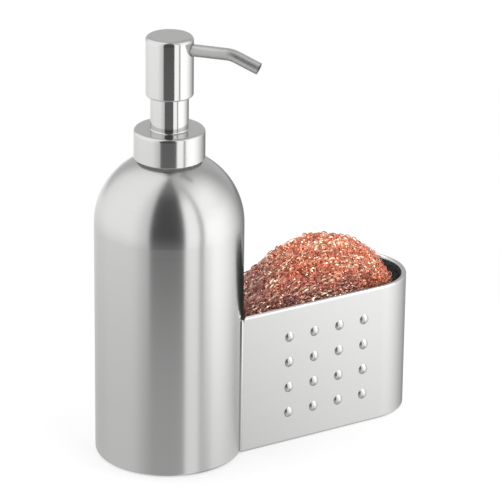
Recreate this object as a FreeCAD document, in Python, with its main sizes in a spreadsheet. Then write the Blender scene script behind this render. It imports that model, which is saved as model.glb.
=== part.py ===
import FreeCAD, Part
import math
import os
import re
import Sketcher

# A soap pump bottle of brushed steel with a caddy welded to its side. The bottle stands on the
# origin with its axis along Z, the caddy runs along X, and its dimpled wall faces -Y.
# All lengths are millimetres, all angles degrees.

SIZES = {
    # Gaps that the pieces share
    "weld_gap": 0.05,
    "rest_gap": 0.05,
    "running_clearance": 0.1,
    "free_clearance": 0.4,
    # Bottle: a straight wall under a round dome, on a base plate
    "bottle_radius": 33.75,
    "bottle_wall": 0.8,
    "dome_level": 110.5,
    "foot_corner": 1.5,
    "foot_lip": 3.5,
    "base_sheet": 0.8,
    # Threaded neck, gripped in the opening of the dome
    "land_width": 1.8,
    "neck_wall": 1.8,
    "neck_step": 0.6,
    "neck_height": 9.5,
    "shoulder_width": 1.6,
    "shoulder_depth": 1.2,
    "swage_width": 1.4,
    "swage_depth": 1.2,
    "thread_pitch": 4.2,
    "thread_ridge": 0.7,
    "thread_play": 0.4,
    "thread_drop": 1.45,
    "thread_start": 1.6,
    # Screw cap: a steel shell over a threaded plastic ring
    "cap_radius": 16.0,
    "cap_wall": 0.5,
    "cap_corner": 1.5,
    "cap_lift": 1.9,
    "ring_wall": 1.95,
    "web_depth": 1.2,
    # Sleeve that stands on the cap
    "sleeve_radius": 8.57,
    "sleeve_wall": 0.5,
    "sleeve_flare": 0.7,
    "sleeve_flange_width": 2.4,
    "sleeve_flange_depth": 0.5,
    "sleeve_rise": 20.0,
    # Pump inside the neck
    "gasket_depth": 1.0,
    "flange_depth": 1.4,
    "neck_room": 2.6,
    "housing_wall": 1.2,
    "housing_depth": 48.0,
    "lock_depth": 12.0,
    "lock_flange": 1.5,
    "lock_collar": 6.0,
    "tail_wall": 1.5,
    "tail_depth": 10.0,
    "port_radius": 1.6,
    "port_depth": 1.5,
    "cage_depth": 1.2,
    "cage_bore": 1.8,
    "inlet_ball_radius": 2.4,
    "inlet_chamber_room": 0.8,
    "inlet_lift": 1.2,
    "dip_radius": 3.0,
    "dip_wall": 0.8,
    "dip_foot_gap": 3.0,
    # Plunger
    "press_travel": 13.0,
    "travel_room": 0.8,
    "piston_height": 8.0,
    "piston_lip": 1.6,
    "piston_relief": 0.8,
    "stem_radius": 3.5,
    "stem_bore": 1.3,
    "stem_rim": 0.8,
    "stem_collar": 1.0,
    "outlet_ball_radius": 1.75,
    "outlet_chamber_room": 0.35,
    "outlet_lift": 1.0,
    "outlet_passage": 1.4,
    "spring_wire": 0.9,
    # Press head and spout
    "head_stand": 15.6,
    "head_height": 27.5,
    "head_step": 2.13,
    "head_wall": 0.5,
    "head_corner": 2.0,
    "head_foot_corner": 0.9,
    "core_ease": 0.1,
    "boss_wall": 1.8,
    "boss_depth": 10.5,
    "spout_radius": 2.75,
    "spout_wall": 0.5,
    "spout_drop": 5.6,
    "spout_root": 2.6,
    "spout_straight": 26.5,
    "spout_bend": 12.0,
    "spout_bend_angle": 22.0,
    "spout_end": 11.1,
    "spout_hole_gap": 0.25,
    "spout_turn": -49.5,
    # Caddy: one bent sheet with a rolled hem, on a floor plate
    "caddy_half_width": 23.9,
    "caddy_reach": 100.3,
    "caddy_height": 67.0,
    "caddy_sheet": 0.7,
    "caddy_corner": 1.2,
    "caddy_lip": 3.2,
    "hem_gap": 1.0,
    "hem_depth": 3.5,
    "hem_relief_width": 1.4,
    "hem_relief_depth": 7.0,
    "cut_overrun": 1.0,
    "dimple_radius": 2.4,
    "dimple_height": 1.2,
    "dimple_end_gap": 10.1,
    "dimple_rim_gap": 14.4,
    "dimple_pitch_across": 13.5,
    "dimple_pitch_up": 12.56,
    # Scouring pad that stands in the caddy
    "pad_gap": 0.4,
    "pad_bottle_gap": 1.2,
    "pad_floor_gap": 0.3,
    "pad_rim_share": 0.7,
}

# Radii, levels and places that follow from the sizes above.
WORKED_OUT = {
    # Bottle and neck, from the cap inwards
    "bottle_inner": "bottle_radius - bottle_wall",
    "cap_inner": "cap_radius - cap_wall",
    "ring_radius": "cap_inner - weld_gap",
    "ring_bore": "ring_radius - ring_wall",
    "neck_root": "ring_bore - thread_ridge - thread_play",
    "neck_bore": "neck_root - neck_wall",
    "opening_radius": "neck_root - neck_step",
    "land_radius": "neck_root + land_width",
    "land_level": "dome_level + sqrt(bottle_radius^2 - land_radius^2)",
    "land_under": "land_level - bottle_wall",
    "land_inner": "sqrt(bottle_inner^2 - (land_under - dome_level)^2)",
    "shoulder_level": "land_level + shoulder_depth",
    "neck_top": "land_level + neck_height",
    "thread_level": "shoulder_level + thread_ridge + thread_start",
    # Stack on top of the neck
    "gasket_low": "neck_top + rest_gap",
    "flange_low": "gasket_low + gasket_depth",
    "flange_top": "flange_low + flange_depth",
    "flange_radius": "ring_bore - free_clearance",
    "web_low": "flange_top + rest_gap",
    "web_top": "web_low + web_depth",
    "cap_under": "web_top + sleeve_flange_depth",
    "cap_top": "cap_under + cap_wall",
    "cap_low": "dome_level + sqrt(bottle_radius^2 - cap_radius^2) + cap_lift",
    "ring_low": "shoulder_level + free_clearance",
    "ring_bevel": "cap_corner - cap_wall",
    "sleeve_inner": "sleeve_radius - sleeve_wall",
    "sleeve_foot": "sleeve_radius + sleeve_flare",
    "sleeve_flange_radius": "sleeve_radius + sleeve_flange_width",
    "sleeve_top": "cap_top + sleeve_rise",
    # Pump housing, from the neck inwards and from the flange down
    "housing_radius": "neck_bore - neck_room",
    "housing_bore": "housing_radius - housing_wall",
    "inner_fit": "housing_bore - weld_gap",
    "shelf_level": "flange_top - housing_depth",
    "inlet_chamber": "inlet_ball_radius + inlet_chamber_room",
    "inlet_seat_rise": "sqrt(inlet_ball_radius^2 - port_radius^2) + rest_gap",
    "inlet_seat": "shelf_level - inlet_lift - inlet_seat_rise - inlet_ball_radius - rest_gap",
    "port_low": "inlet_seat - port_depth",
    "tail_low": "port_low - tail_depth",
    "tail_radius": "inlet_chamber + tail_wall",
    "cage_top": "shelf_level + cage_depth",
    "lock_low": "flange_top - lock_depth",
    "lock_floor": "flange_top + lock_flange",
    "lock_top": "lock_floor + lock_collar",
    "guide_bore": "stem_radius + running_clearance",
    "collar_radius": "sleeve_inner - free_clearance",
    # Plunger, hung under the lock ring
    "stem_rim_radius": "stem_radius + stem_rim",
    "piston_top": "lock_low - free_clearance - stem_collar - running_clearance",
    "piston_low": "piston_top - piston_height",
    "piston_radius": "housing_bore - running_clearance",
    "stem_low": "piston_low - running_clearance - stem_collar",
    "spring_radius": "(stem_rim_radius + piston_radius) / 2",
    # Press head
    "head_low": "cap_top + head_stand",
    "head_top": "head_low + head_height",
    "head_radius": "sleeve_radius + head_step",
    "head_inner": "head_radius - head_wall",
    "head_lip": "sleeve_radius + free_clearance",
    "spout_level": "head_top - spout_drop",
    "core_low": "sleeve_top + press_travel + travel_room",
    "core_top": "head_top - head_wall - weld_gap",
    "core_radius": "head_inner - weld_gap",
    "core_corner": "head_corner - head_wall + core_ease",
    "boss_radius": "stem_radius + boss_wall",
    "boss_low": "core_low - boss_depth",
    "stem_top": "spout_level - spout_radius - travel_room",
    "outlet_chamber": "outlet_ball_radius + outlet_chamber_room",
    "outlet_seat_rise": "sqrt(outlet_ball_radius^2 - stem_bore^2) + rest_gap",
    "outlet_seat": "stem_top - outlet_lift - outlet_seat_rise - outlet_ball_radius - rest_gap",
    "bend_across": "spout_straight + spout_bend * sin(spout_bend_angle)",
    "bend_level": "spout_level - spout_bend * (1 - cos(spout_bend_angle))",
    # Caddy and pad
    "hem_thickness": "2 * caddy_sheet + hem_gap",
    "hem_radius": "hem_thickness / 2",
    "hem_inner": "caddy_half_width - hem_thickness",
    "hem_level": "caddy_height - hem_radius",
    "lip_edge": "caddy_half_width - caddy_lip",
    "corner_edge": "caddy_half_width - caddy_corner",
    "sheet_inner": "caddy_half_width - caddy_sheet",
    "floor_edge": "corner_edge - weld_gap",
    "floor_top": "2 * caddy_sheet",
    "dimple_ball": "(dimple_radius^2 + dimple_height^2) / (2 * dimple_height)",
    "dimple_depth": "dimple_ball - dimple_height",
    "pad_near": "bottle_radius + pad_bottle_gap",
    "pad_far": "caddy_reach + hem_inner - pad_gap",
    "pad_radius": "(pad_far - pad_near) / 2",
    "pad_half": "hem_inner - pad_gap",
    "pad_rim": "pad_half * pad_rim_share",
    "pad_hub": "pad_radius - pad_rim",
    "pad_crown": "(pad_hub^2 + pad_half^2 - pad_rim^2) / (2 * (pad_half - pad_rim))",
    "pad_turn_across": "pad_hub + pad_rim * pad_hub / (pad_crown - pad_rim)",
    "pad_turn_up": "pad_rim * (pad_crown - pad_half) / (pad_crown - pad_rim)",
    "pad_level": "floor_top + pad_floor_gap + pad_radius",
}

FULL_TURN = 360.0
LEFT = 1
RIGHT = -1
NECK_THREAD_QUARTERS = 5
RING_THREAD_QUARTERS = 4
RING_THREAD_FIRST_QUARTER = 1
SPRING_QUARTERS = 26
DIMPLE_COLUMNS = 4
DIMPLE_ROWS = 4
UP = FreeCAD.Vector(0, 0, 1)

doc = FreeCAD.newDocument("soap_pump_caddy")
sheet = doc.addObject("Spreadsheet::Sheet", "sizes")
cells = [(name, str(size)) for name, size in SIZES.items()]
cells += [(name, "=" + formula) for name, formula in WORKED_OUT.items()]
for row, (name, content) in enumerate(cells, start=1):
    sheet.set(f"A{row}", name)
    sheet.set(f"B{row}", content)
    sheet.setAlias(f"B{row}", name)
doc.recompute()


def named(formula):
    """Point each name in a formula, which has two words or more, at its cell on the sheet."""
    return re.sub(r"\b[a-z]+(_[a-z]+)+\b", r"sizes.\g<0>", formula)


def value(formula):
    """The number that a formula comes to."""
    return float(sheet.evalExpression(named(formula)))


def bind(item, **formulas):
    """Tie properties of an object to formulas; a double underscore stands for a dot."""
    for prop, formula in formulas.items():
        item.setExpression(prop.replace("__", "."), named(formula))


# Sketches and the solids that are made of them

def sketch_on(body, role, suffix):
    """An empty sketch on one of the body's own planes."""
    sketch = body.newObject("Sketcher::SketchObject", f"{body.Name}_{suffix}")
    plane = next(item for item in body.Origin.OriginFeatures if item.Role == role)
    sketch.AttachmentSupport = (plane, [""])
    sketch.MapMode = "FlatFace"
    return sketch


def measure(sketch, formula, kind, *places):
    """Add a dimension to a sketch and tie it to a formula."""
    number = sketch.addConstraint(Sketcher.Constraint(kind, *places, value(formula)))
    sketch.setExpression(f"Constraints[{number}]", named(formula))


def hold(sketch, side, point, across, up):
    """Dimension one point of a side from the sketch's origin."""
    measure(sketch, across, "DistanceX", -1, 1, side, point)
    measure(sketch, up, "DistanceY", -1, 1, side, point)


def arc_between(begin, end, radius, turn):
    """The shorter arc of that radius from one point to another, turning left or right."""
    chord = end - begin
    across = FreeCAD.Vector(-chord.y, chord.x, 0).normalize()
    rise = math.sqrt(max(radius ** 2 - (chord.Length / 2) ** 2, 0))
    centre = (begin + end) * 0.5 + across * (rise * turn)
    first, last = (begin, end) if turn == LEFT else (end, begin)
    angles = [math.atan2(point.y - centre.y, point.x - centre.x) for point in (first, last)]
    return Part.ArcOfCircle(Part.Circle(centre, UP, radius), *angles)


def draw(sketch, corners, closed=True):
    """Draw a line of straight sides and arcs through corners that are given as formulas.

    A corner is (across, up), or (across, up, radius, turn) where an arc leads to it.
    """
    places = [FreeCAD.Vector(value(corner[0]), value(corner[1]), 0) for corner in corners]
    start = 0 if closed else 1
    sides = []
    for index in range(start, len(corners)):
        begin, end = places[index - 1], places[index]
        ends = (1, 2)
        if len(corners[index]) == 2:
            side = sketch.addGeometry(Part.LineSegment(begin, end), False)
        else:
            radius, turn = corners[index][2:]
            side = sketch.addGeometry(arc_between(begin, end, value(radius), turn), False)
            measure(sketch, radius, "Radius", side)
            ends = (1, 2) if turn == LEFT else (2, 1)
        hold(sketch, side, ends[1], *corners[index][:2])
        sides.append((side, ends))
    following = sides[1:] + sides[:1] if closed else sides[1:]
    for (side, ends), (next_side, next_ends) in zip(sides, following):
        sketch.addConstraint(Sketcher.Constraint("Coincident", side, ends[1], next_side, next_ends[0]))
    if not closed:
        hold(sketch, sides[0][0], sides[0][1][0], *corners[0][:2])


def circle(sketch, across, up, radius):
    """Draw a circle at a place and of a radius that are given as formulas."""
    centre = FreeCAD.Vector(value(across), value(up), 0)
    side = sketch.addGeometry(Part.Circle(centre, UP, value(radius)), False)
    hold(sketch, side, 3, across, up)
    measure(sketch, radius, "Radius", side)


def new_body(name):
    return doc.addObject("PartDesign::Body", name)


def turned(name, corners):
    """A body of revolution about its upright axis; corners are (radius, height)."""
    body = new_body(name)
    outline = sketch_on(body, "XZ_Plane", "outline")
    draw(outline, corners)
    turn = body.newObject("PartDesign::Revolution", f"{name}_turn")
    turn.Profile = outline
    turn.ReferenceAxis = (outline, ["V_Axis"])
    turn.Angle = FULL_TURN
    body.Tip = turn
    return body


def ring(name, inner, outer, low, high):
    """A plain ring with a square section."""
    return turned(name, [(inner, low), (outer, low), (outer, high), (inner, high)])


def swept(body, section, path):
    """Carry a section along a path."""
    pipe = body.newObject("PartDesign::AdditivePipe", f"{body.Name}_pipe")
    pipe.Profile = section
    pipe.Spine = path
    body.Tip = pipe


cuts = []


def cut_through(body, role, across, up, radius):
    """Cut a round hole from one of the body's planes all the way out on its positive side."""
    hole = sketch_on(body, role, "hole")
    circle(hole, across, up, radius)
    pocket = body.newObject("PartDesign::Pocket", f"{body.Name}_cut")
    pocket.Profile = hole
    pocket.Type = "ThroughAll"
    pocket.Reversed = True
    body.Tip = pocket
    cuts.append(pocket)


def face_spout(body):
    """Turn a piece of the press head from +X to the way the spout points."""
    body.Placement = FreeCAD.Placement(FreeCAD.Vector(), FreeCAD.Rotation(UP, 0))
    bind(body, Placement__Rotation__Angle="spout_turn")


# Wound wire: the thread ridges and the return spring

def bend(start, corner, end):
    """The arc that touches the lines from start to corner and from corner to end."""
    middle = (start + end) * 0.5
    cosine = (end - start).Length / (2 * (corner - start).Length)
    crown = middle + (corner - middle) * (cosine / (1 + cosine))
    return Part.Arc(start, crown, end).toShape()


def biarc(start, start_way, end, end_way):
    """Two arcs that leave start and reach end in the given directions and meet smoothly."""
    span = end - start
    ways = start_way + end_way
    spare = 4 - ways.dot(ways)
    along = span.dot(ways)
    reach = (math.sqrt(along ** 2 + spare * span.dot(span)) - along) / spare
    first = start + start_way * reach
    second = end - end_way * reach
    middle = (first + second) * 0.5
    return [bend(start, first, middle), bend(middle, second, end)]


def helix_point(radius, pitch, low, quarter):
    """A point of a helix and the direction of the wire there."""
    angle = quarter * math.pi / 2
    place = FreeCAD.Vector(radius * math.cos(angle), radius * math.sin(angle), low + pitch * quarter / 4)
    rise = pitch / (2 * math.pi)
    way = FreeCAD.Vector(-radius * math.sin(angle), radius * math.cos(angle), rise).normalize()
    return place, way


def wound(name, radius, pitch, low, wire, first_quarter, quarters):
    """A round wire on a helix, as one unbroken tube with a pair of arcs for each quarter turn."""
    stations = [helix_point(radius, pitch, low, first_quarter + step) for step in range(quarters + 1)]
    edges = []
    for (start, start_way), (end, end_way) in zip(stations, stations[1:]):
        edges += biarc(start, start_way, end, end_way)
    section = Part.Wire([Part.makeCircle(wire, *stations[0])])
    item = doc.addObject("Part::Feature", name)
    item.Shape = Part.Wire(edges).makePipeShell([section], True, False)
    length = sum(edge.Length for edge in edges)
    expected = math.pi * wire ** 2 * length
    print(f"{name}: volume {item.Shape.Volume:.3f}, section times length {expected:.3f}")
    return item


def joined(name, base, tool):
    """One solid of two."""
    item = doc.addObject("Part::Fuse", name)
    item.Base = base
    item.Tool = tool
    return item


# Bottle: a drawn shell, open at its foot, with a flat land around the opening in the dome
bottle_shell = turned("bottle_shell", [
    ("bottle_radius - foot_lip", "0"),
    ("bottle_radius - foot_corner", "0"),
    ("bottle_radius", "foot_corner", "foot_corner", LEFT),
    ("bottle_radius", "dome_level"),
    ("land_radius", "land_level", "bottle_radius", LEFT),
    ("opening_radius", "land_level"),
    ("opening_radius", "land_under"),
    ("land_inner", "land_under"),
    ("bottle_inner", "dome_level", "bottle_inner", RIGHT),
    ("bottle_inner", "foot_corner"),
    ("bottle_radius - foot_corner", "bottle_wall", "foot_corner - bottle_wall", RIGHT),
    ("bottle_radius - foot_lip", "bottle_wall"),
])

# Base plate, laid on the lip of the foot and welded there
bottle_base = turned("bottle_base", [
    ("0", "bottle_wall"),
    ("bottle_radius - foot_corner - weld_gap", "bottle_wall"),
    ("bottle_radius - foot_corner - weld_gap", "bottle_wall + base_sheet"),
    ("0", "bottle_wall + base_sheet"),
])

# Neck, swaged over both sides of the land, with its thread
neck_blank = turned("neck_blank", [
    ("neck_bore", "land_under - swage_depth"),
    ("opening_radius + swage_width", "land_under - swage_depth"),
    ("opening_radius + swage_width", "land_under"),
    ("opening_radius - weld_gap", "land_under"),
    ("opening_radius - weld_gap", "land_level"),
    ("neck_root + shoulder_width", "land_level"),
    ("neck_root + shoulder_width", "shoulder_level"),
    ("neck_root", "shoulder_level"),
    ("neck_root", "neck_top"),
    ("neck_bore", "neck_top"),
])
neck_thread = wound(
    "neck_thread", sheet.neck_root, sheet.thread_pitch, sheet.thread_level,
    sheet.thread_ridge, 0, NECK_THREAD_QUARTERS)
neck_ring = joined("neck_ring", neck_blank, neck_thread)

# Caddy wall: the section of the sheet, from the lip under the floor up to the rolled hem,
# carried along the two straight sides and round the far end, then cut to the bottle
caddy_sheet = new_body("caddy_bent_sheet")
section = sketch_on(caddy_sheet, "YZ_Plane", "section")
draw(section, [
    ("-lip_edge", "0"),
    ("-corner_edge", "0"),
    ("-caddy_half_width", "caddy_corner", "caddy_corner", RIGHT),
    ("-caddy_half_width", "hem_level"),
    ("-(caddy_half_width - hem_radius)", "caddy_height", "hem_radius", RIGHT),
    ("-hem_inner", "hem_level", "hem_radius", RIGHT),
    ("-hem_inner", "caddy_height - hem_depth"),
    ("-(hem_inner + caddy_sheet)", "caddy_height - hem_depth"),
    ("-(hem_inner + caddy_sheet)", "hem_level"),
    ("-(caddy_half_width - hem_radius)", "hem_level + hem_gap / 2", "hem_gap / 2", LEFT),
    ("-sheet_inner", "hem_level", "hem_gap / 2", LEFT),
    ("-sheet_inner", "caddy_corner"),
    ("-corner_edge", "caddy_sheet", "caddy_corner - caddy_sheet", LEFT),
    ("-lip_edge", "caddy_sheet"),
])


def draw_run(sketch, half_width, closed):
    """Two straight sides and a round end, as seen from above."""
    draw(sketch, [
        ("0", f"-{half_width}"),
        ("caddy_reach", f"-{half_width}"),
        (f"caddy_reach + {half_width}", "0", half_width, LEFT),
        ("caddy_reach", half_width, half_width, LEFT),
        ("0", half_width),
    ], closed)


run = sketch_on(caddy_sheet, "XY_Plane", "run")
draw_run(run, "caddy_half_width", False)
swept(caddy_sheet, section, run)
cut_through(caddy_sheet, "XY_Plane", "0", "0", "bottle_radius + weld_gap")

# Relief at the two ends of the hem, which stand off the bottle towards the top
relief = sketch_on(caddy_sheet, "XZ_Plane", "relief")
draw(relief, [
    ("bottle_radius", "caddy_height - hem_relief_depth"),
    ("bottle_radius + hem_relief_width", "caddy_height"),
    ("bottle_radius + hem_relief_width", "caddy_height + cut_overrun"),
    ("bottle_radius", "caddy_height + cut_overrun"),
])
relief_turn = caddy_sheet.newObject("PartDesign::Groove", "caddy_bent_sheet_relief_turn")
relief_turn.Profile = relief
relief_turn.ReferenceAxis = (relief, ["V_Axis"])
relief_turn.Angle = FULL_TURN
caddy_sheet.Tip = relief_turn
cuts.append(relief_turn)

# Raised dimples in rows and columns on the wall that faces -Y, hollow behind
def dimple_ball(kind, row, column, radius):
    """A ball behind the dimpled wall, with its pole pointing out of the wall."""
    ball = doc.addObject("Part::Sphere", f"dimple_{kind}_{row}_{column}")
    ball.Placement = FreeCAD.Placement(
        FreeCAD.Vector(), FreeCAD.Rotation(FreeCAD.Vector(1, 0, 0), FULL_TURN / 4))
    bind(
        ball, Radius=radius,
        Placement__Base__x=f"caddy_reach - dimple_end_gap - {column} * dimple_pitch_across",
        Placement__Base__y="dimple_depth - caddy_half_width",
        Placement__Base__z=f"caddy_height - dimple_rim_gap - {row} * dimple_pitch_up")
    return ball


bumps = [caddy_sheet]
hollows = []
for row in range(DIMPLE_ROWS):
    for column in range(DIMPLE_COLUMNS):
        bump = dimple_ball("bump", row, column, "dimple_ball")
        bind(bump, Angle1="asin((dimple_depth - caddy_sheet / 2) / dimple_ball)")
        bumps.append(bump)
        hollows.append(dimple_ball("hollow", row, column, "dimple_ball - caddy_sheet"))
embossed = doc.addObject("Part::MultiFuse", "caddy_embossed")
embossed.Shapes = bumps
backs = doc.addObject("Part::Compound", "dimple_backs")
backs.Links = hollows
caddy_wall = doc.addObject("Part::Cut", "caddy_wall")
caddy_wall.Base = embossed
caddy_wall.Tool = backs

# Caddy floor, laid on the lip of the wall and cut to the bottle
caddy_floor = new_body("caddy_floor")
plate = sketch_on(caddy_floor, "XY_Plane", "plate")
bind(plate, AttachmentOffset__Base__z="caddy_sheet")
draw_run(plate, "floor_edge", True)
pad = caddy_floor.newObject("PartDesign::Pad", "caddy_floor_plate")
pad.Profile = plate
bind(pad, Length="caddy_sheet")
caddy_floor.Tip = pad
cut_through(caddy_floor, "XY_Plane", "0", "0", "bottle_radius + weld_gap")

# Screw cap: polished shell with a round hole for the sleeve
closure_shell = turned("closure_shell", [
    ("cap_inner", "cap_low"),
    ("cap_radius", "cap_low"),
    ("cap_radius", "cap_top - cap_corner"),
    ("cap_radius - cap_corner", "cap_top", "cap_corner", LEFT),
    ("sleeve_foot + weld_gap", "cap_top"),
    ("sleeve_foot + weld_gap", "cap_under"),
    ("cap_radius - cap_corner", "cap_under"),
    ("cap_inner", "cap_top - cap_corner", "cap_corner - cap_wall", RIGHT),
])

# Threaded ring inside the cap; its web presses the pump's flange on to the neck
ring_blank = turned("ring_blank", [
    ("ring_bore", "ring_low"),
    ("ring_radius", "ring_low"),
    ("ring_radius", "web_top - ring_bevel"),
    ("ring_radius - ring_bevel", "web_top"),
    ("sleeve_radius + free_clearance", "web_top"),
    ("sleeve_radius + free_clearance", "web_low"),
    ("ring_bore", "web_low"),
])
ring_thread = wound(
    "ring_thread", sheet.ring_bore, sheet.thread_pitch, sheet.thread_level - sheet.thread_drop,
    sheet.thread_ridge, RING_THREAD_FIRST_QUARTER, RING_THREAD_QUARTERS)
closure_ring = joined("closure_ring", ring_blank, ring_thread)

# Sleeve, flanged under the cap's top and flared where it leaves the cap
sleeve = turned("sleeve", [
    ("sleeve_inner", "web_top"),
    ("sleeve_flange_radius", "web_top"),
    ("sleeve_flange_radius", "cap_under"),
    ("sleeve_foot", "cap_under"),
    ("sleeve_foot", "cap_top"),
    ("sleeve_radius", "cap_top + sleeve_flare", "sleeve_flare", RIGHT),
    ("sleeve_radius", "sleeve_top"),
    ("sleeve_inner", "sleeve_top"),
])

# Pump housing: flange, cylinder, valve chamber with its seat, and the socket of the dip tube
pump_housing = turned("pump_housing", [
    ("housing_bore", "flange_top"),
    ("housing_bore", "shelf_level"),
    ("inlet_chamber", "shelf_level"),
    ("inlet_chamber", "inlet_seat"),
    ("port_radius", "inlet_seat"),
    ("port_radius", "port_low"),
    ("dip_radius + weld_gap", "port_low"),
    ("dip_radius + weld_gap", "tail_low"),
    ("tail_radius", "tail_low"),
    ("tail_radius", "shelf_level - housing_wall"),
    ("housing_radius", "shelf_level - housing_wall"),
    ("housing_radius", "flange_low"),
    ("flange_radius", "flange_low"),
    ("flange_radius", "flange_top"),
])
neck_gasket = ring("neck_gasket", "neck_bore", "flange_radius", "gasket_low", "flange_low")
ball_cage = ring("ball_cage", "cage_bore", "inner_fit", "shelf_level", "cage_top")
dip_tube = ring(
    "dip_tube", "dip_radius - dip_wall", "dip_radius", "bottle_wall + base_sheet + dip_foot_gap", "port_low")

# Lock ring: a tube that guides the stem and stops the piston, with a collar inside the sleeve
lock_ring = turned("lock_ring", [
    ("guide_bore", "lock_low"),
    ("inner_fit", "lock_low"),
    ("inner_fit", "flange_top"),
    ("collar_radius", "flange_top"),
    ("collar_radius", "lock_top"),
    ("boss_radius + free_clearance", "lock_top"),
    ("boss_radius + free_clearance", "lock_floor"),
    ("guide_bore", "lock_floor"),
])

# Piston with a sealing lip at each end
piston = turned("piston", [
    ("guide_bore", "piston_low"),
    ("piston_radius", "piston_low"),
    ("piston_radius", "piston_low + piston_lip"),
    ("piston_radius - piston_relief", "piston_low + piston_lip"),
    ("piston_radius - piston_relief", "piston_top - piston_lip"),
    ("piston_radius", "piston_top - piston_lip"),
    ("piston_radius", "piston_top"),
    ("guide_bore", "piston_top"),
])

# Stem: it turns in the piston between two rims and holds the outlet valve in its top
stem = turned("stem", [
    ("stem_bore", "stem_low"),
    ("stem_rim_radius", "stem_low"),
    ("stem_rim_radius", "piston_low - running_clearance"),
    ("stem_radius", "piston_low - running_clearance"),
    ("stem_radius", "piston_top + running_clearance"),
    ("stem_rim_radius", "piston_top + running_clearance"),
    ("stem_rim_radius", "piston_top + running_clearance + stem_collar"),
    ("stem_radius", "piston_top + running_clearance + stem_collar"),
    ("stem_radius", "stem_top"),
    ("outlet_chamber", "stem_top"),
    ("outlet_chamber", "outlet_seat"),
    ("stem_bore", "outlet_seat"),
])


def valve_ball(name, radius, level):
    """A ball on the axis, just clear of its seat."""
    ball = doc.addObject("Part::Sphere", name)
    bind(ball, Radius=radius, Placement__Base__z=level)
    return ball


inlet_ball = valve_ball("inlet_ball", "inlet_ball_radius", "inlet_seat + inlet_seat_rise")
outlet_ball = valve_ball("outlet_ball", "outlet_ball_radius", "outlet_seat + outlet_seat_rise")

# Return spring, from the ball cage up to the piston
spring_wire_radius = sheet.spring_wire / 2
spring_low = sheet.cage_top + spring_wire_radius + sheet.running_clearance
spring_high = sheet.piston_low - spring_wire_radius - sheet.running_clearance
spring_pitch = (spring_high - spring_low) * 4 / SPRING_QUARTERS
return_spring = wound(
    "return_spring", sheet.spring_radius, spring_pitch, spring_low,
    spring_wire_radius, 0, SPRING_QUARTERS)
spring_line = [
    helix_point(sheet.spring_radius, spring_pitch, spring_low, step)[0]
    for step in range(SPRING_QUARTERS + 1)]
spring_gap = min(
    (spring_line[later] - spring_line[step]).Length - sheet.spring_wire
    for step in range(len(spring_line)) for later in range(step + 2, len(spring_line)))
print(f"return_spring: least gap to itself {spring_gap:.2f} mm")

# Head core: a plug with a socket for the stem, a passage and a bore for the spout
head_core = turned("head_core", [
    ("stem_radius + weld_gap", "boss_low"),
    ("boss_radius", "boss_low"),
    ("boss_radius", "core_low"),
    ("core_radius", "core_low"),
    ("core_radius", "core_top - core_corner"),
    ("core_radius - core_corner", "core_top", "core_corner", LEFT),
    ("0", "core_top"),
    ("0", "spout_level"),
    ("outlet_passage", "spout_level"),
    ("outlet_passage", "stem_top"),
    ("stem_radius + weld_gap", "stem_top"),
])
cut_through(head_core, "YZ_Plane", "0", "spout_level", "spout_radius + weld_gap")

# Head shell: a polished cup, upside down, its foot turned in towards the sleeve
head_shell = turned("head_shell", [
    ("head_lip", "head_low"),
    ("head_radius - head_foot_corner", "head_low"),
    ("head_radius", "head_low + head_foot_corner", "head_foot_corner", LEFT),
    ("head_radius", "head_top - head_corner"),
    ("head_radius - head_corner", "head_top", "head_corner", LEFT),
    ("0", "head_top"),
    ("0", "head_top - head_wall"),
    ("head_radius - head_corner", "head_top - head_wall"),
    ("head_inner", "head_top - head_corner", "head_corner - head_wall", RIGHT),
    ("head_inner", "head_low + head_foot_corner"),
    ("head_radius - head_foot_corner", "head_low + head_wall", "head_foot_corner - head_wall", RIGHT),
    ("head_lip", "head_low + head_wall"),
])
cut_through(head_shell, "YZ_Plane", "0", "spout_level", "spout_radius + spout_hole_gap")

# Spout: a straight tube out of the core, one gentle bend, and an end cut square
spout = new_body("spout")
tube = sketch_on(spout, "YZ_Plane", "tube")
bind(tube, AttachmentOffset__Base__z="spout_root")
circle(tube, "0", "spout_level", "spout_radius")
circle(tube, "0", "spout_level", "spout_radius - spout_wall")
spout_line = sketch_on(spout, "XZ_Plane", "line")
draw(spout_line, [
    ("spout_root", "spout_level"),
    ("spout_straight", "spout_level"),
    ("bend_across", "bend_level", "spout_bend", RIGHT),
    ("bend_across + spout_end * cos(spout_bend_angle)", "bend_level - spout_end * sin(spout_bend_angle)"),
], False)
swept(spout, tube, spout_line)

for piece in (head_core, head_shell, spout):
    face_spout(piece)

# Scouring pad: a thick round cake on edge, crowned on both faces, with a rounded rim
scouring_pad = new_body("scouring_pad")
cake = sketch_on(scouring_pad, "XY_Plane", "outline")
draw(cake, [
    ("0", "-pad_half"),
    ("pad_turn_across", "-pad_turn_up", "pad_crown", LEFT),
    ("pad_turn_across", "pad_turn_up", "pad_rim", LEFT),
    ("0", "pad_half", "pad_crown", LEFT),
])
cake_turn = scouring_pad.newObject("PartDesign::Revolution", "scouring_pad_turn")
cake_turn.Profile = cake
cake_turn.ReferenceAxis = (cake, ["V_Axis"])
cake_turn.Angle = FULL_TURN
scouring_pad.Tip = cake_turn
bind(scouring_pad, Placement__Base__x="(pad_near + pad_far) / 2", Placement__Base__z="pad_level")

pieces = [
    bottle_shell, bottle_base, neck_ring, caddy_wall, caddy_floor,
    closure_shell, closure_ring, sleeve,
    pump_housing, neck_gasket, lock_ring, ball_cage, dip_tube, return_spring,
    inlet_ball, piston, stem, outlet_ball,
    head_core, head_shell, spout, scouring_pad,
]

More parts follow.
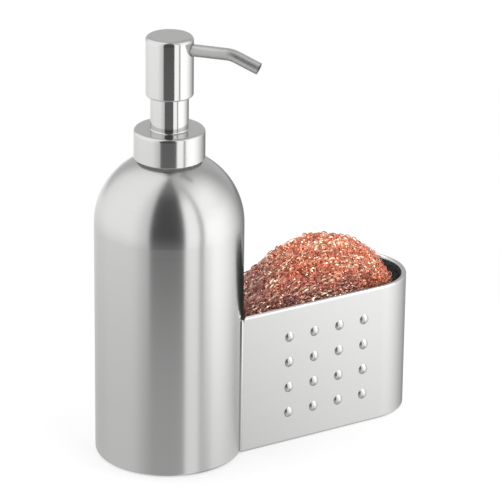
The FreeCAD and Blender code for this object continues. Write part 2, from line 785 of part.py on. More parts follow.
doc.recompute()
for item in doc.Objects:
    if "Invalid" in item.State or "Error" in item.State:
        raise RuntimeError(f"{item.Name} did not build: {item.State}")
for pocket in cuts:
    if pocket.Shape.Volume >= pocket.BaseFeature.Shape.Volume:
        raise RuntimeError(f"{pocket.Name} cuts nothing")
for piece in pieces:
    if piece.Shape.isNull() or not piece.Shape.isValid():
        raise RuntimeError(f"{piece.Label} has no sound shape")

os.makedirs("parts", exist_ok=True)
for piece in pieces:
    piece.Shape.exportStep(os.path.join("parts", f"{piece.Label}.step"))
    print(f"{piece.Label}: {len(piece.Shape.Solids)} solid, {piece.Shape.Volume:.2f} mm3")
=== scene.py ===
import math

import bpy
import numpy as np
from mathutils import Matrix, Vector


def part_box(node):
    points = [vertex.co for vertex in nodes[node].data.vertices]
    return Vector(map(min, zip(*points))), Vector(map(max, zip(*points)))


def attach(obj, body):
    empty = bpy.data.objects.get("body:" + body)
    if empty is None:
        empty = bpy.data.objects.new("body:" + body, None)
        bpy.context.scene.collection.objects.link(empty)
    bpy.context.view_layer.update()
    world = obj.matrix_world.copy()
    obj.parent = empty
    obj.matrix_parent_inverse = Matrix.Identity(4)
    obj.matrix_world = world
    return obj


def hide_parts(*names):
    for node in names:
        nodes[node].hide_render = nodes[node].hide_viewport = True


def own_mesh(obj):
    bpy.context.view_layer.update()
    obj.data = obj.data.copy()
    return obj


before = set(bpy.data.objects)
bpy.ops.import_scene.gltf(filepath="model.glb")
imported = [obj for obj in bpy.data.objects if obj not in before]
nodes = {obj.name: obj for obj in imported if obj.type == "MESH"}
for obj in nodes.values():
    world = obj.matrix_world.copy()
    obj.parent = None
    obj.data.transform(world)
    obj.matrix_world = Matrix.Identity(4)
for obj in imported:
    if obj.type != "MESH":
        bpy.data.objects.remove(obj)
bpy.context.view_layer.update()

bpy.ops.object.select_all(action="DESELECT")


# Camera: a long lens that looks down on the object from the bottle's side of the dimpled wall,
# from the same place as the photograph.
PHOTO_PIXELS = 500
FOCAL_PIXELS = 3344.0
SENSOR = 36.0
LOOK_TURN = math.radians(31.53)
LOOK_DOWN = math.radians(22.1)
LOOK_ROLL = math.radians(0.68)
CAMERA_PLACE = Vector((-0.6970, -1.2055, 0.6627))

camera = bpy.data.objects.new("camera", bpy.data.cameras.new("camera"))
bpy.context.scene.collection.objects.link(camera)
camera.data.sensor_width = SENSOR
camera.data.lens = FOCAL_PIXELS / PHOTO_PIXELS * SENSOR
camera.matrix_world = (
    Matrix.Translation(CAMERA_PLACE)
    @ Matrix.Rotation(-LOOK_TURN, 4, "Z")
    @ Matrix.Rotation(math.pi / 2 - LOOK_DOWN, 4, "X")
    @ Matrix.Rotation(LOOK_ROLL, 4, "Z"))
bpy.context.scene.camera = camera
bpy.context.scene.view_settings.view_transform = "Standard"


# Light tent: white cloth panels all round the object, open towards the camera. The dark opening
# and the seam between the two panels on the right are what the steel mirrors as upright bands.

class Wire:
    """An output in a shader tree. Sums on wires add Math nodes, and add() adds any other node."""

    def __init__(self, tree, socket=None):
        self.tree = tree
        self.socket = socket

    def add(self, kind, settings, sockets, output=0):
        """Add a node: its settings first, then the value or wire of each socket."""
        node = self.tree.nodes.new(f"ShaderNode{kind}")
        for name, setting in settings.items():
            setattr(node, name, setting)
        for name, given in sockets.items():
            if isinstance(given, Wire):
                self.tree.links.new(given.socket, node.inputs[name])
            else:
                node.inputs[name].default_value = given
        return Wire(self.tree, node.outputs[output] if node.outputs else None)

    def math(self, operation, *terms):
        return self.add("Math", {"operation": operation}, dict(enumerate(terms)))

    def __add__(self, other):
        return self.math("ADD", self, other)

    def __radd__(self, other):
        return self.math("ADD", other, self)

    def __sub__(self, other):
        return self.math("SUBTRACT", self, other)

    def __rsub__(self, other):
        return self.math("SUBTRACT", other, self)

    def __mul__(self, other):
        return self.math("MULTIPLY", self, other)

    def __rmul__(self, other):
        return self.math("MULTIPLY", other, self)

    def ramp(self, low, high):
        """0 below low, 1 above high, smooth between; the other way round where high is lower."""
        start, end = min(low, high), max(low, high)
        ends = (0.0, 1.0) if low < high else (1.0, 0.0)
        return self.add("MapRange", {"interpolation_type": "SMOOTHSTEP"}, {
            "Value": self, "From Min": start, "From Max": end, "To Min": ends[0], "To Max": ends[1]})

    def mix(self, first, second):
        """A colour that goes from first to second as this wire goes from 0 to 1."""
        return self.add("Mix", {"data_type": "RGBA"}, {0: self, 6: first, 7: second}, 2)

    def along(self, way):
        """How far this place lies along a way."""
        return self.add("VectorMath", {"operation": "DOT_PRODUCT"}, {0: self, 1: way}, "Value")


TENT_RADIUS = 0.45
TENT_SEGMENTS = 96
TENT_RINGS = 48

# Degrees round the tent at which a panel ends, and half the width of its soft edge
GAP_LEFT = -27
GAP_RIGHT = 24.7
SEAM_LEFT = 46.5
SEAM_RIGHT = 54.2
PANEL_EDGE = 1.5

# Light of each panel: its base, then how much comes to it between two angles of rise
LEFT_PANEL = (0.84, ((0.5, -24, 12),))
OPENING = (0.1, ((0.07, 12, 2), (0.4, -4, -17), (0.14, 58, 76)))
STRIP = (1.13, ((0.42, -24, 4), (-0.8, 48, 74)))
SEAM = (0.58, ((0.24, -4, -20),))
RIGHT_PANEL = (1.15, ((0.62, -24, -6), (-0.19, 24, 36), (-0.7, 50, 80)))
BACK_PANEL = (0.28, ((0.8, -20, -28),))
FAR_TOP_LIGHT = 0.66

# Shade on a panel: how dark it gets, and the two angles between which it deepens
LEFT_NEAR_SHADE = (0.28, -58, -28)
LEFT_BACK_SHADE = (0.16, -95, -150)
RIGHT_NEAR_SHADE = (0.25, 74, 58)
RIGHT_NEAR_RISE = (4, -12)
RIGHT_LOW_SHADE = (0.55, -23, -40)

# Angles between which the right panel goes over into the back one, and the far top comes in
RIGHT_TO_BACK = (76, 158)
FAR_RISE = (8, 18)
FAR_ASIDE = (125, 150)

bpy.ops.mesh.primitive_uv_sphere_add(
    segments=TENT_SEGMENTS, ring_count=TENT_RINGS, radius=TENT_RADIUS)
tent = bpy.context.object
tent.name = "light_tent"
tent.visible_camera = False
tent.visible_shadow = False
cloth = bpy.data.materials.new("tent_panels")
cloth.use_nodes = True
cloth.node_tree.nodes.clear()
panels = Wire(cloth.node_tree)

# Degrees round and up the tent: turn is 0 towards the camera and grows to its right
place = panels.add("TexCoord", {}, {}, "Object")
to_right = place.along((math.cos(LOOK_TURN), -math.sin(LOOK_TURN), 0))
to_camera = place.along((-math.sin(LOOK_TURN), -math.cos(LOOK_TURN), 0))
height = panels.add("SeparateXYZ", {}, {0: place}, "Z")
turn = panels.math("ARCTAN2", to_right, to_camera) * math.degrees(1)
rise = panels.math("ARCSINE", height * (1 / TENT_RADIUS)) * math.degrees(1)
aside = panels.math("ABSOLUTE", turn)


def past(angle):
    """0 before an angle round the tent and 1 after it."""
    return turn.ramp(angle - PANEL_EDGE, angle + PANEL_EDGE)


def light_of(panel):
    """Light of a panel at every height."""
    light, changes = panel
    for amount, start, end in changes:
        light = light + amount * rise.ramp(start, end)
    return light


def shaded(angle, shade):
    """What a shade leaves of the light, by an angle."""
    depth, start, end = shade
    return 1 - depth * angle.ramp(start, end)


left_light = light_of(LEFT_PANEL) * shaded(turn, LEFT_NEAR_SHADE) * shaded(turn, LEFT_BACK_SHADE)
near_depth, near_start, near_end = RIGHT_NEAR_SHADE
near_shade = near_depth * rise.ramp(*RIGHT_NEAR_RISE) * turn.ramp(near_start, near_end)
right_light = light_of(RIGHT_PANEL) * (1 - near_shade) * shaded(rise, RIGHT_LOW_SHADE)
to_back = turn.ramp(*RIGHT_TO_BACK)
right_light = right_light * (1 - to_back) + light_of(BACK_PANEL) * to_back
light = (
    left_light * (1 - past(GAP_LEFT))
    + light_of(OPENING) * past(GAP_LEFT) * (1 - past(GAP_RIGHT))
    + light_of(STRIP) * past(GAP_RIGHT) * (1 - past(SEAM_LEFT))
    + light_of(SEAM) * past(SEAM_LEFT) * (1 - past(SEAM_RIGHT))
    + right_light * past(SEAM_RIGHT))
far_top = rise.ramp(*FAR_RISE) * aside.ramp(*FAR_ASIDE)
light = light * (1 - far_top) + FAR_TOP_LIGHT * far_top
lit = panels.add("Emission", {}, {"Color": light, "Strength": 1.0})
panels.add("OutputMaterial", {}, {"Surface": lit})
tent.data.materials.append(cloth)


# Table: a round matt white top inside the tent, which fades into the white of the room around it.
# The steel does not mirror it, so that the tent shows down to the foot.
WHITE = (1, 1, 1, 1)
TABLE_RADIUS = 0.4
TABLE_SIDES = 96
TABLE_FADE = (0.1, 0.3)
TABLE_COLOUR = (0.7, 0.7, 0.7, 1)
TABLE_GLOW = 0.45
world = bpy.data.worlds.new("white_room")
bpy.context.scene.world = world
world.use_nodes = True
world.node_tree.nodes["Background"].inputs["Color"].default_value = WHITE
bpy.ops.mesh.primitive_circle_add(vertices=TABLE_SIDES, radius=TABLE_RADIUS, fill_type="NGON")
table = bpy.context.object
table.name = "table_top"
table.visible_glossy = False
paint = bpy.data.materials.new("table_paint")
paint.use_nodes = True
paint.node_tree.nodes.clear()
top = Wire(paint.node_tree)
place = top.add("TexCoord", {}, {}, "Object")
distance = top.add("VectorMath", {"operation": "LENGTH"}, {0: place}, "Value")
matt = top.add("BsdfDiffuse", {}, {"Color": TABLE_COLOUR})
glow = top.add("Emission", {}, {"Color": WHITE, "Strength": TABLE_GLOW})
room = top.add("Emission", {}, {"Color": WHITE, "Strength": 1.0})
near = top.add("AddShader", {}, {0: matt, 1: glow})
surface = top.add("MixShader", {}, {0: distance.ramp(*TABLE_FADE), 1: near, 2: room})
top.add("OutputMaterial", {}, {"Surface": surface})
table.data.materials.append(paint)


# Bottle: a shell of stainless steel, drawn in one piece and ground on a lathe, so that its satin
# scratches run round it. The base plate is welded into its foot.
SATIN_COLOUR = (0.56, 0.56, 0.555, 1)
SATIN_DARK = (0.538, 0.538, 0.534, 1)
SATIN_ROUGHNESS = 0.22
SATIN_STRETCH = 0.45
SCRATCH_SCALE = 2200.0
SCRATCH_DRIFT = 45.0
SCRATCH_TONES = (0.25, 0.75)
SCRATCH_ROUGHENS = 0.08
SCRATCH_BUMP = 0.02
SCRATCH_DEPTH = 0.0002
CLOUD_SCALE = 45.0
CLOUD_ROUGHENS = 0.03


def lathe_lines(place):
    """Places stretched so that a noise on them runs round the upright axis."""
    flat = place.add("VectorMath", {"operation": "MULTIPLY"}, {0: place, 1: (1, 1, 0)})
    radius = place.add("VectorMath", {"operation": "LENGTH"}, {0: flat}, "Value")
    height = place.add("SeparateXYZ", {}, {0: place}, "Z")
    fine = place.add("CombineXYZ", {}, {"X": radius * SCRATCH_SCALE, "Y": height * SCRATCH_SCALE})
    drift = place.add("VectorMath", {"operation": "SCALE"}, {0: flat, "Scale": SCRATCH_DRIFT})
    return place.add("VectorMath", {"operation": "ADD"}, {0: fine, 1: drift})


def finish(name, pieces):
    """A new material on these pieces: the place on them as a wire, and the main shader."""
    material = bpy.data.materials.new(name)
    material.use_nodes = True
    for piece in pieces:
        piece.data.materials.clear()
        piece.data.materials.append(material)
    shader = material.node_tree.nodes["Principled BSDF"]
    return Wire(material.node_tree).add("TexCoord", {}, {}, "Object"), shader


def feed(shader, **wires):
    """Link wires to the shader's sockets."""
    for name, wire in wires.items():
        wire.tree.links.new(wire.socket, shader.inputs[name.replace("_", " ")])


def steel(name, pieces, colours, roughness, stretch, lines):
    """Ground steel: fine scratches that follow the lines, and a faint cloudiness."""
    place, shader = finish(name, pieces)
    scratch = place.add("TexNoise", {}, {
        "Vector": lines(place), "Scale": 1.0, "Detail": 3.0, "Roughness": 0.6})
    cloud = place.add("TexNoise", {}, {"Vector": place, "Scale": CLOUD_SCALE, "Detail": 2.0})
    feed(
        shader,
        Base_Color=scratch.ramp(*SCRATCH_TONES).mix(*colours),
        Roughness=roughness + (scratch - 0.5) * SCRATCH_ROUGHENS + (cloud - 0.5) * CLOUD_ROUGHENS,
        Normal=place.add("Bump", {}, {
            "Height": scratch, "Strength": SCRATCH_BUMP, "Distance": SCRATCH_DEPTH}))
    shader.inputs["Metallic"].default_value = 1.0
    shader.inputs["Anisotropic"].default_value = stretch
    shader.inputs["Anisotropic Rotation"].default_value = 0.25


steel("satin_steel_turned", [nodes["bottle_shell"], nodes["bottle_base"]],
      (SATIN_DARK, SATIN_COLOUR), SATIN_ROUGHNESS, SATIN_STRETCH, lathe_lines)


# Neck: a threaded ring of white plastic, moulded, pressed into the opening of the dome. The screw
# cap runs on its thread.
WHITE_PLASTIC = ((0.81, 0.81, 0.79, 1), (0.86, 0.86, 0.84, 1))
PLASTIC_ROUGHNESS = 0.45
MOULD_CLOUD_SCALE = 180.0
MOULD_CLOUD_ROUGHENS = 0.12
MOULD_GRAIN_SCALE = 2600.0
MOULD_GRAIN_BUMP = 0.06
MOULD_GRAIN_DEPTH = 0.0001


def moulded(name, pieces, colours, roughness):
    """Moulded plastic or rubber: a faint grain, with colour and gloss that cloud a little."""
    place, shader = finish(name, pieces)
    cloud = place.add("TexNoise", {}, {"Vector": place, "Scale": MOULD_CLOUD_SCALE, "Detail": 3.0})
    grain = place.add("TexNoise", {}, {"Vector": place, "Scale": MOULD_GRAIN_SCALE, "Detail": 2.0})
    feed(
        shader,
        Base_Color=cloud.mix(*colours),
        Roughness=roughness + (cloud - 0.5) * MOULD_CLOUD_ROUGHENS,
        Normal=place.add("Bump", {}, {
            "Height": grain, "Strength": MOULD_GRAIN_BUMP, "Distance": MOULD_GRAIN_DEPTH}))


moulded("neck_plastic", [nodes["neck_ring"]], WHITE_PLASTIC, PLASTIC_ROUGHNESS)


# Caddy: one strip of the same steel, brushed along its length, bent round and hemmed at the top,
# with a floor plate laid on the lip at its foot.
SHEET_COLOURS = ((0.557, 0.557, 0.552, 1), (0.58, 0.58, 0.575, 1))
SHEET_ROUGHNESS = 0.31
PLATE_ROUGHNESS = 0.34
PLATE_STRETCH = 0.3
SHEET_GRAIN = (SCRATCH_DRIFT, SCRATCH_DRIFT, SCRATCH_SCALE)
PLATE_GRAIN = (SCRATCH_DRIFT, SCRATCH_SCALE, SCRATCH_DRIFT)


def sheet_lines(place):
    """Places stretched so that a noise on them runs along the caddy's wall."""
    return place.add("Mapping", {}, {"Vector": place, "Scale": SHEET_GRAIN})


def plate_lines(place):
    """Places stretched so that a noise on them runs along the caddy's floor."""
    return place.add("Mapping", {}, {"Vector": place, "Scale": PLATE_GRAIN})


steel("satin_steel_sheet", [nodes["caddy_wall"]],
      SHEET_COLOURS, SHEET_ROUGHNESS, SATIN_STRETCH, sheet_lines)
steel("satin_steel_plate", [nodes["caddy_floor"]],
      SHEET_COLOURS, PLATE_ROUGHNESS, PLATE_STRETCH, plate_lines)


# Weld beads: a slim seam of steel, ground smooth, runs up each corner where the caddy's wall meets
# the bottle, from the foot to the hem.
BEAD_RADIUS = 0.0009
BEAD_PROUD = 0.0003
BEAD_FOOT = 0.0014
BEAD_TOP = 0.0667
BEAD_SIDES = 16
BEAD_END_SHARE = 0.8
BEAD_END_STEPS = 3
BEAD_COLOURS = ((0.62, 0.62, 0.615, 1), (0.66, 0.66, 0.655, 1))
BEAD_ROUGHNESS = 0.2
bottle_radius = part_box("bottle_shell")[1].x
wall_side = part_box("caddy_wall")[1].y
bead_across = math.sqrt(bottle_radius ** 2 - wall_side ** 2)
beads = []
for side, bead_name in ((-1, "front_weld"), (1, "back_weld")):
    bpy.ops.mesh.primitive_cylinder_add(
        vertices=BEAD_SIDES, radius=BEAD_RADIUS, depth=BEAD_TOP - BEAD_FOOT,
        location=(bead_across, side * (wall_side + BEAD_PROUD), (BEAD_TOP + BEAD_FOOT) / 2))
    bead = bpy.context.object
    bead.name = bead_name
    rounding = bead.modifiers.new("ends", "BEVEL")
    rounding.width = BEAD_RADIUS * BEAD_END_SHARE
    rounding.segments = BEAD_END_STEPS
    rounding.limit_method = "ANGLE"
    bpy.ops.object.modifier_apply(modifier="ends")
    bpy.ops.object.transform_apply(location=True, rotation=True, scale=True)
    bpy.ops.object.shade_smooth_by_angle(angle=math.radians(40))
    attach(bead, "bottle")
    bead.select_set(False)
    beads.append(bead)
steel("weld_steel", beads, BEAD_COLOURS, BEAD_ROUGHNESS, stretch=0.0, lines=sheet_lines)


# Pump housing and dip tube: milky plastic, moulded, hung in the neck on a rubber gasket. The lock
# ring pressed into the top of the housing and the valve cage low inside it are of white plastic.
MILKY_PLASTIC = ((0.76, 0.785, 0.775, 1), (0.82, 0.84, 0.83, 1))
MILKY_ROUGHNESS = 0.4
RUBBER = ((0.085, 0.085, 0.085, 1), (0.12, 0.12, 0.12, 1))
RUBBER_ROUGHNESS = 0.7
moulded("pump_plastic", [nodes["pump_housing"], nodes["dip_tube"]], MILKY_PLASTIC, MILKY_ROUGHNESS)
moulded("gasket_rubber", [nodes["neck_gasket"]], RUBBER, RUBBER_ROUGHNESS)
moulded("lock_plastic", [nodes["lock_ring"], nodes["ball_cage"]], WHITE_PLASTIC, PLASTIC_ROUGHNESS)


# Return spring: bright steel wire, wound to a coil that stands on the valve cage and carries the
# piston. It is pushed together when the head is pressed.
SPRING_WIRE = 0.0009
SPRING_TURNS = 6.5
SPRING_STEPS = 24
SPRING_SIDES = 10
SPRING_COLOURS = ((0.58, 0.58, 0.575, 1), (0.62, 0.62, 0.61, 1))
SPRING_ROUGHNESS = 0.2
SPRING_GRAIN = 900.0
spring_low, spring_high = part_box("return_spring")
bpy.ops.mesh.primitive_circle_add(
    vertices=SPRING_SIDES, radius=SPRING_WIRE / 2, rotation=(math.pi / 2, 0, 0),
    location=(spring_high.x - SPRING_WIRE / 2, 0, spring_low.z + SPRING_WIRE / 2))
spring = bpy.context.object
spring.name = "spring_coil"
bpy.ops.object.transform_apply(location=True, rotation=True, scale=True)
winding = spring.modifiers.new("winding", "SCREW")
winding.angle = SPRING_TURNS * 2 * math.pi
winding.screw_offset = spring_high.z - spring_low.z - SPRING_WIRE
winding.steps = int(SPRING_TURNS * SPRING_STEPS)
winding.render_steps = winding.steps
bpy.ops.object.modifier_apply(modifier="winding")
bpy.ops.object.mode_set(mode="EDIT")
bpy.ops.mesh.select_all(action="SELECT")
bpy.ops.mesh.fill_holes(sides=0)
bpy.ops.mesh.select_all(action="SELECT")
bpy.ops.mesh.normals_make_consistent(inside=False)
bpy.ops.object.mode_set(mode="OBJECT")
bpy.ops.object.shade_smooth_by_angle(angle=math.radians(60))
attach(spring, "pump_body")
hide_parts("return_spring")
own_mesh(spring)
spring.select_set(False)


def wire_lines(place):
    """Places of one even grain, for drawn wire and ground balls."""
    return place.add("VectorMath", {"operation": "SCALE"}, {0: place, "Scale": SPRING_GRAIN})


steel("spring_steel", [spring], SPRING_COLOURS, SPRING_ROUGHNESS, stretch=0.0, lines=wire_lines)


# Valve balls: bearing balls of the same steel, ground bright. One closes the inlet at the foot of
# the housing, the other the outlet in the head.
BALL_ROUGHNESS = 0.14
steel("ball_steel", [nodes["inlet_ball"], nodes["outlet_ball"]],
      SPRING_COLOURS, BALL_ROUGHNESS, stretch=0.0, lines=wire_lines)


# Piston and stem: white plastic, moulded, a little glossier than the neck. The stem turns in the
# piston and carries the head.
PLUNGER_ROUGHNESS = 0.4
moulded("plunger_plastic", [nodes["piston"], nodes["stem"]], WHITE_PLASTIC, PLUNGER_ROUGHNESS)


# Screw cap and sleeve: thin steel shells, polished, over a threaded ring of white plastic. The
# sleeve is held by its flange under the top of the cap, which is a little duller.
POLISHED_COLOURS = ((0.57, 0.57, 0.565, 1), (0.59, 0.59, 0.585, 1))
POLISHED_ROUGHNESS = 0.11
POLISHED_STRETCH = 0.3
CAP_ROUGHNESS = 0.16
moulded("ring_plastic", [nodes["closure_ring"]], WHITE_PLASTIC, PLASTIC_ROUGHNESS)
steel("polished_cap", [nodes["closure_shell"]],
      POLISHED_COLOURS, CAP_ROUGHNESS, POLISHED_STRETCH, lathe_lines)
steel("polished_sleeve", [nodes["sleeve"]],
      POLISHED_COLOURS, POLISHED_ROUGHNESS, POLISHED_STRETCH, lathe_lines)


# Press head: a polished cup of thin steel over a white plastic core. The core is pushed on to the
# stem.
moulded("head_plastic", [nodes["head_core"]], WHITE_PLASTIC, PLASTIC_ROUGHNESS)
steel("polished_head", [nodes["head_shell"]],
      POLISHED_COLOURS, POLISHED_ROUGHNESS, POLISHED_STRETCH, lathe_lines)


# Spout: a thin steel tube, drawn and bent, with a satin finish. It is pushed into the core through
# the side of the cup.
SPOUT_COLOURS = ((0.55, 0.55, 0.545, 1), (0.57, 0.57, 0.565, 1))
SPOUT_ROUGHNESS = 0.36
SPOUT_STRETCH = 0.3
SPOUT_TURN = math.radians(-49.5)
SPOUT_DRIFT = 60.0


def spout_lines(place):
    """Places stretched so that a noise on them runs along the spout."""
    outward = place.along((math.cos(SPOUT_TURN), math.sin(SPOUT_TURN), 0))
    sideways = place.along((-math.sin(SPOUT_TURN), math.cos(SPOUT_TURN), 0))
    height = place.add("SeparateXYZ", {}, {0: place}, "Z")
    return place.add("CombineXYZ", {}, {
        "X": outward * SPOUT_DRIFT, "Y": sideways * SCRATCH_SCALE, "Z": height * SCRATCH_SCALE})


steel("drawn_tube", [nodes["spout"]], SPOUT_COLOURS, SPOUT_ROUGHNESS, SPOUT_STRETCH, spout_lines)


# Scouring pad: flat copper strand, knitted into a loose tube that is wadded into a thick cake and
# pushed down into the caddy. It fills the corner by the bottle and springs up above the hem.
PAD_FACE_EXPONENT = 2.1
PAD_DEPTH_EXPONENT = 2.7
PAD_NAVEL = 0.002
PAD_SAMPLES = 4000
PAD_SHOULDER = 0.078
PAD_SHOULDER_FADE = 0.015
PAD_SPREAD = 0.28
PAD_LUMP = 0.0007
PAD_LUMP_LENGTH = 0.016
PAD_SEED = 14
PAD_WAVES = 7
BOTTLE_GAP = 0.0008
HEM_GAP = 0.0002
FLOOR_GAP = 0.0004
pad_low, pad_high = (np.array(corner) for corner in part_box("scouring_pad"))
pad_centre = (pad_low + pad_high) / 2
pad_radius = (pad_high[0] - pad_low[0]) / 2
pad_half = (pad_high[1] - pad_low[1]) / 2
floor_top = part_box("caddy_floor")[1].z


def unit(vectors):
    """Vectors of the same directions, each of length 1."""
    return vectors / (np.linalg.norm(vectors, axis=1)[:, None] + 1e-12)


def uneven(places, wavelength, seed):
    """Smooth bumps of about that wavelength, mostly from -1 to 1, at points in space."""
    waves = np.random.default_rng(seed)
    ways = waves.normal(size=(PAD_WAVES, 3))
    ways *= 2 * math.pi / wavelength / np.linalg.norm(ways, axis=1)[:, None]
    phases = waves.uniform(0, 2 * math.pi, PAD_WAVES)
    return np.sin(places @ ways.T + phases).sum(axis=1) * 2 / PAD_WAVES


def cake(along, angle, inset):
    """Points and outward normals of the round cake; along is 0 on its front and 1 on its back."""
    slope = (along - 0.5) * math.pi
    out = np.cos(slope).clip(0) ** (2 / PAD_FACE_EXPONENT)
    deep = np.sign(slope) * np.abs(np.sin(slope)) ** (2 / PAD_DEPTH_EXPONENT)
    radius, half = pad_radius - inset, pad_half - inset
    places = np.stack([radius * out * np.cos(angle), half * deep, radius * out * np.sin(angle)], axis=1)
    steep = out ** (PAD_FACE_EXPONENT - 1) / radius
    facing = np.sign(deep) * np.abs(deep) ** (PAD_DEPTH_EXPONENT - 1) / half
    return places, unit(np.stack([steep * np.cos(angle), facing, steep * np.sin(angle)], axis=1))


def settle(places, inset):
    """Push the cake down into the caddy: wide below the shoulder, clear of bottle, hem and floor."""
    places = places.copy()
    low = ((PAD_SHOULDER - pad_centre[2] - places[:, 2]) / PAD_SHOULDER_FADE).clip(0, 1)
    spread = 1 + PAD_SPREAD * low * low * (3 - 2 * low)
    places[:, 0] *= np.where(places[:, 0] < 0, spread, 1)
    places += pad_centre
    reach = np.hypot(places[:, 0], places[:, 1])
    clear = bottle_radius + BOTTLE_GAP + inset
    places[:, :2] *= (np.maximum(reach, clear) / reach)[:, None]
    side = pad_half - HEM_GAP - inset / 2
    places[:, 1] = places[:, 1].clip(-side, side)
    places[:, 2] = places[:, 2].clip(floor_top + FLOOR_GAP + inset, None)
    return places


def flat_strand(name, places, normals, twist, strand):
    """A closed strand of that width and thickness through the places, turned by twist on its way."""
    width, thickness = strand
    ways = unit(np.gradient(places, axis=0))
    sides = unit(np.cross(normals, ways))
    ups = np.cross(ways, sides)
    turned = twist[:, None]
    broad = (sides * np.cos(turned) + ups * np.sin(turned)) * width / 2
    thin = (ups * np.cos(turned) - sides * np.sin(turned)) * thickness / 2
    corners = [broad + thin, broad - thin, -broad - thin, -broad + thin]
    rings = np.stack([places + corner for corner in corners], axis=1)
    first = np.arange(len(rings) - 1)[:, None] * 4
    quads = []
    for corner in range(4):
        beside = (corner + 1) % 4
        quads.append(first + np.array([corner, corner + 4, beside + 4, beside]))
    last = (len(rings) - 1) * 4
    quads.append(np.array([[0, 1, 2, 3], [last + 3, last + 2, last + 1, last]]))
    mesh = bpy.data.meshes.new(name)
    mesh.from_pydata(rings.reshape(-1, 3).tolist(), [], np.concatenate(quads).tolist())
    mesh.shade_smooth()
    ends = np.empty(len(mesh.edges) * 2, dtype=np.int32)
    mesh.edges.foreach_get("vertices", ends)
    lengthwise = np.abs(ends[0::2] - ends[1::2]) == 4
    mesh.attributes.new("sharp_edge", "BOOLEAN", "EDGE").data.foreach_set("value", lengthwise)
    return mesh


# How unlike each other the loops are: as shares of the loop, the row, the stitch or the strand
LOOP_HEIGHT_SPREAD = 0.35
ROW_WANDER_SHARE = 0.8
ROW_WANDER_LENGTH = 0.021
LOOP_LEAN_SHARE = 0.24
LOOP_LEAN_SPREAD = 0.4
STITCH_WANDER_SHARE = 0.3
STITCH_WANDER_LENGTH = 0.017
CROSSING_SHARE = 0.5
CROSSING_SPREAD = 0.7
STAND_SPREAD = 0.8
STRAND_TWIST = 1.2
# Painted highlight with wear on the loops' crowns: how narrow it is at the crown, and how many loops
# carry it
WEAR_HIGHLIGHT_SHARPNESS = 6
WEAR_HIGHLIGHT_GAIN = 2.4


def knit(name, inset, stitch, row, loop_height, stand, strand, steps, seed):
    """Rows of knitted loops on a spiral from the front of the cake to its back, as one strand.

    The spiral lies inset under the cake's skin, with its rows and stitches that far apart. Each
    loop swings loop_height to both sides of its row and stands off the cake at its crown, where it
    is worn bright and carries a painted highlight. A strand is given by its width and thickness, a loop
    by its steps.
    """
    draws = np.random.default_rng(seed)
    along = np.linspace(0, 1, PAD_SAMPLES)
    meridian = cake(along, np.zeros(PAD_SAMPLES), inset)[0]
    length = np.append(0, np.cumsum(np.linalg.norm(np.diff(meridian, axis=0), axis=1)))
    used = meridian[:, 0] > PAD_NAVEL
    along, length, radius = along[used], length[used], meridian[used, 0]
    turns = 2 * math.pi / row
    run = np.append(0, np.cumsum(np.hypot(np.diff(length) * turns * radius[1:], np.diff(length))))
    count = int(run[-1] / stitch)
    phase = np.arange(count * steps) / steps
    beat = 2 * math.pi * phase
    base_length = np.interp(phase * stitch, run, length)
    base_radius = np.interp(phase * stitch, run, radius)
    base_angle = base_length * turns
    base = cake(np.interp(base_length, length, along), base_angle, inset)[0]

    def by_loop(low, high):
        """A value drawn for each loop, which runs evenly from one loop to the next."""
        return np.interp(phase, np.arange(count + 1), draws.uniform(low, high, count + 1))

    def varied(spread):
        return 1 + spread * by_loop(-1, 1)

    across = loop_height * varied(LOOP_HEIGHT_SPREAD) * np.cos(beat)
    across += row * ROW_WANDER_SHARE * uneven(base, ROW_WANDER_LENGTH, seed + 1)
    sideways = LOOP_LEAN_SHARE * stitch * varied(LOOP_LEAN_SPREAD) * np.sin(2 * beat)
    sideways += stitch * STITCH_WANDER_SHARE * uneven(base, STITCH_WANDER_LENGTH, seed + 2)
    lift = strand[0] * CROSSING_SHARE * varied(CROSSING_SPREAD) * np.cos(2 * beat)
    lift += stand * varied(STAND_SPREAD) * np.cos(beat)
    lift += PAD_LUMP * uneven(base, PAD_LUMP_LENGTH, PAD_SEED)
    new_along = np.interp(base_length + across, length, along)
    places, normals = cake(new_along, base_angle + sideways / base_radius, inset)
    places = settle(places + normals * lift[:, None], inset)
    twist = STRAND_TWIST * by_loop(-1, 1)
    mesh = flat_strand(name, places, normals, twist, strand)
    # Painted highlight with wear: the crowns of some loops get a pale copper, where they stand out and
    # catch the light
    wear_and_highlight = np.cos(beat).clip(0) ** WEAR_HIGHLIGHT_SHARPNESS * (WEAR_HIGHLIGHT_GAIN * by_loop(0, 1) - 1).clip(0, 1)
    mesh.attributes.new("wear_and_highlight", "FLOAT", "POINT").data.foreach_set("value", np.repeat(wear_and_highlight, 4))
    piece = bpy.data.objects.new(name, mesh)
    bpy.context.scene.collection.objects.link(piece)
    return piece


# Painted shade: a dark, dull copper laid on the strand low in the caddy and at the end by the bottle,
# where shade falls
COPPER_PAINTED_SHADE = (0.25, 0.13, 0.13, 1)
# Pale copper of the painted highlight and wear on the loops' crowns
COPPER_WEAR_AND_HIGHLIGHT = (1.0, 0.8, 0.56, 1)
PATCH_SCALE = 110.0
SPECK_SCALE = 900.0
SPECK_TONES = (0.32, 0.62)
SPECK_ROUGHENS = 0.2
# Where the painted shade lies: how much of it, and the heights, reach and end between which it comes
# in, with their drift and slant
PAINTED_SHADE_SHARE = 0.7
PAINTED_SHADE_HEIGHT = (0.078, 0.064)
PAINTED_SHADE_HEIGHT_DRIFT = 0.02
PAINTED_SHADE_REACH = (0.104, 0.08)
PAINTED_SHADE_END = (0.066, 0.042)
PAINTED_SHADE_END_SLANT = 0.4


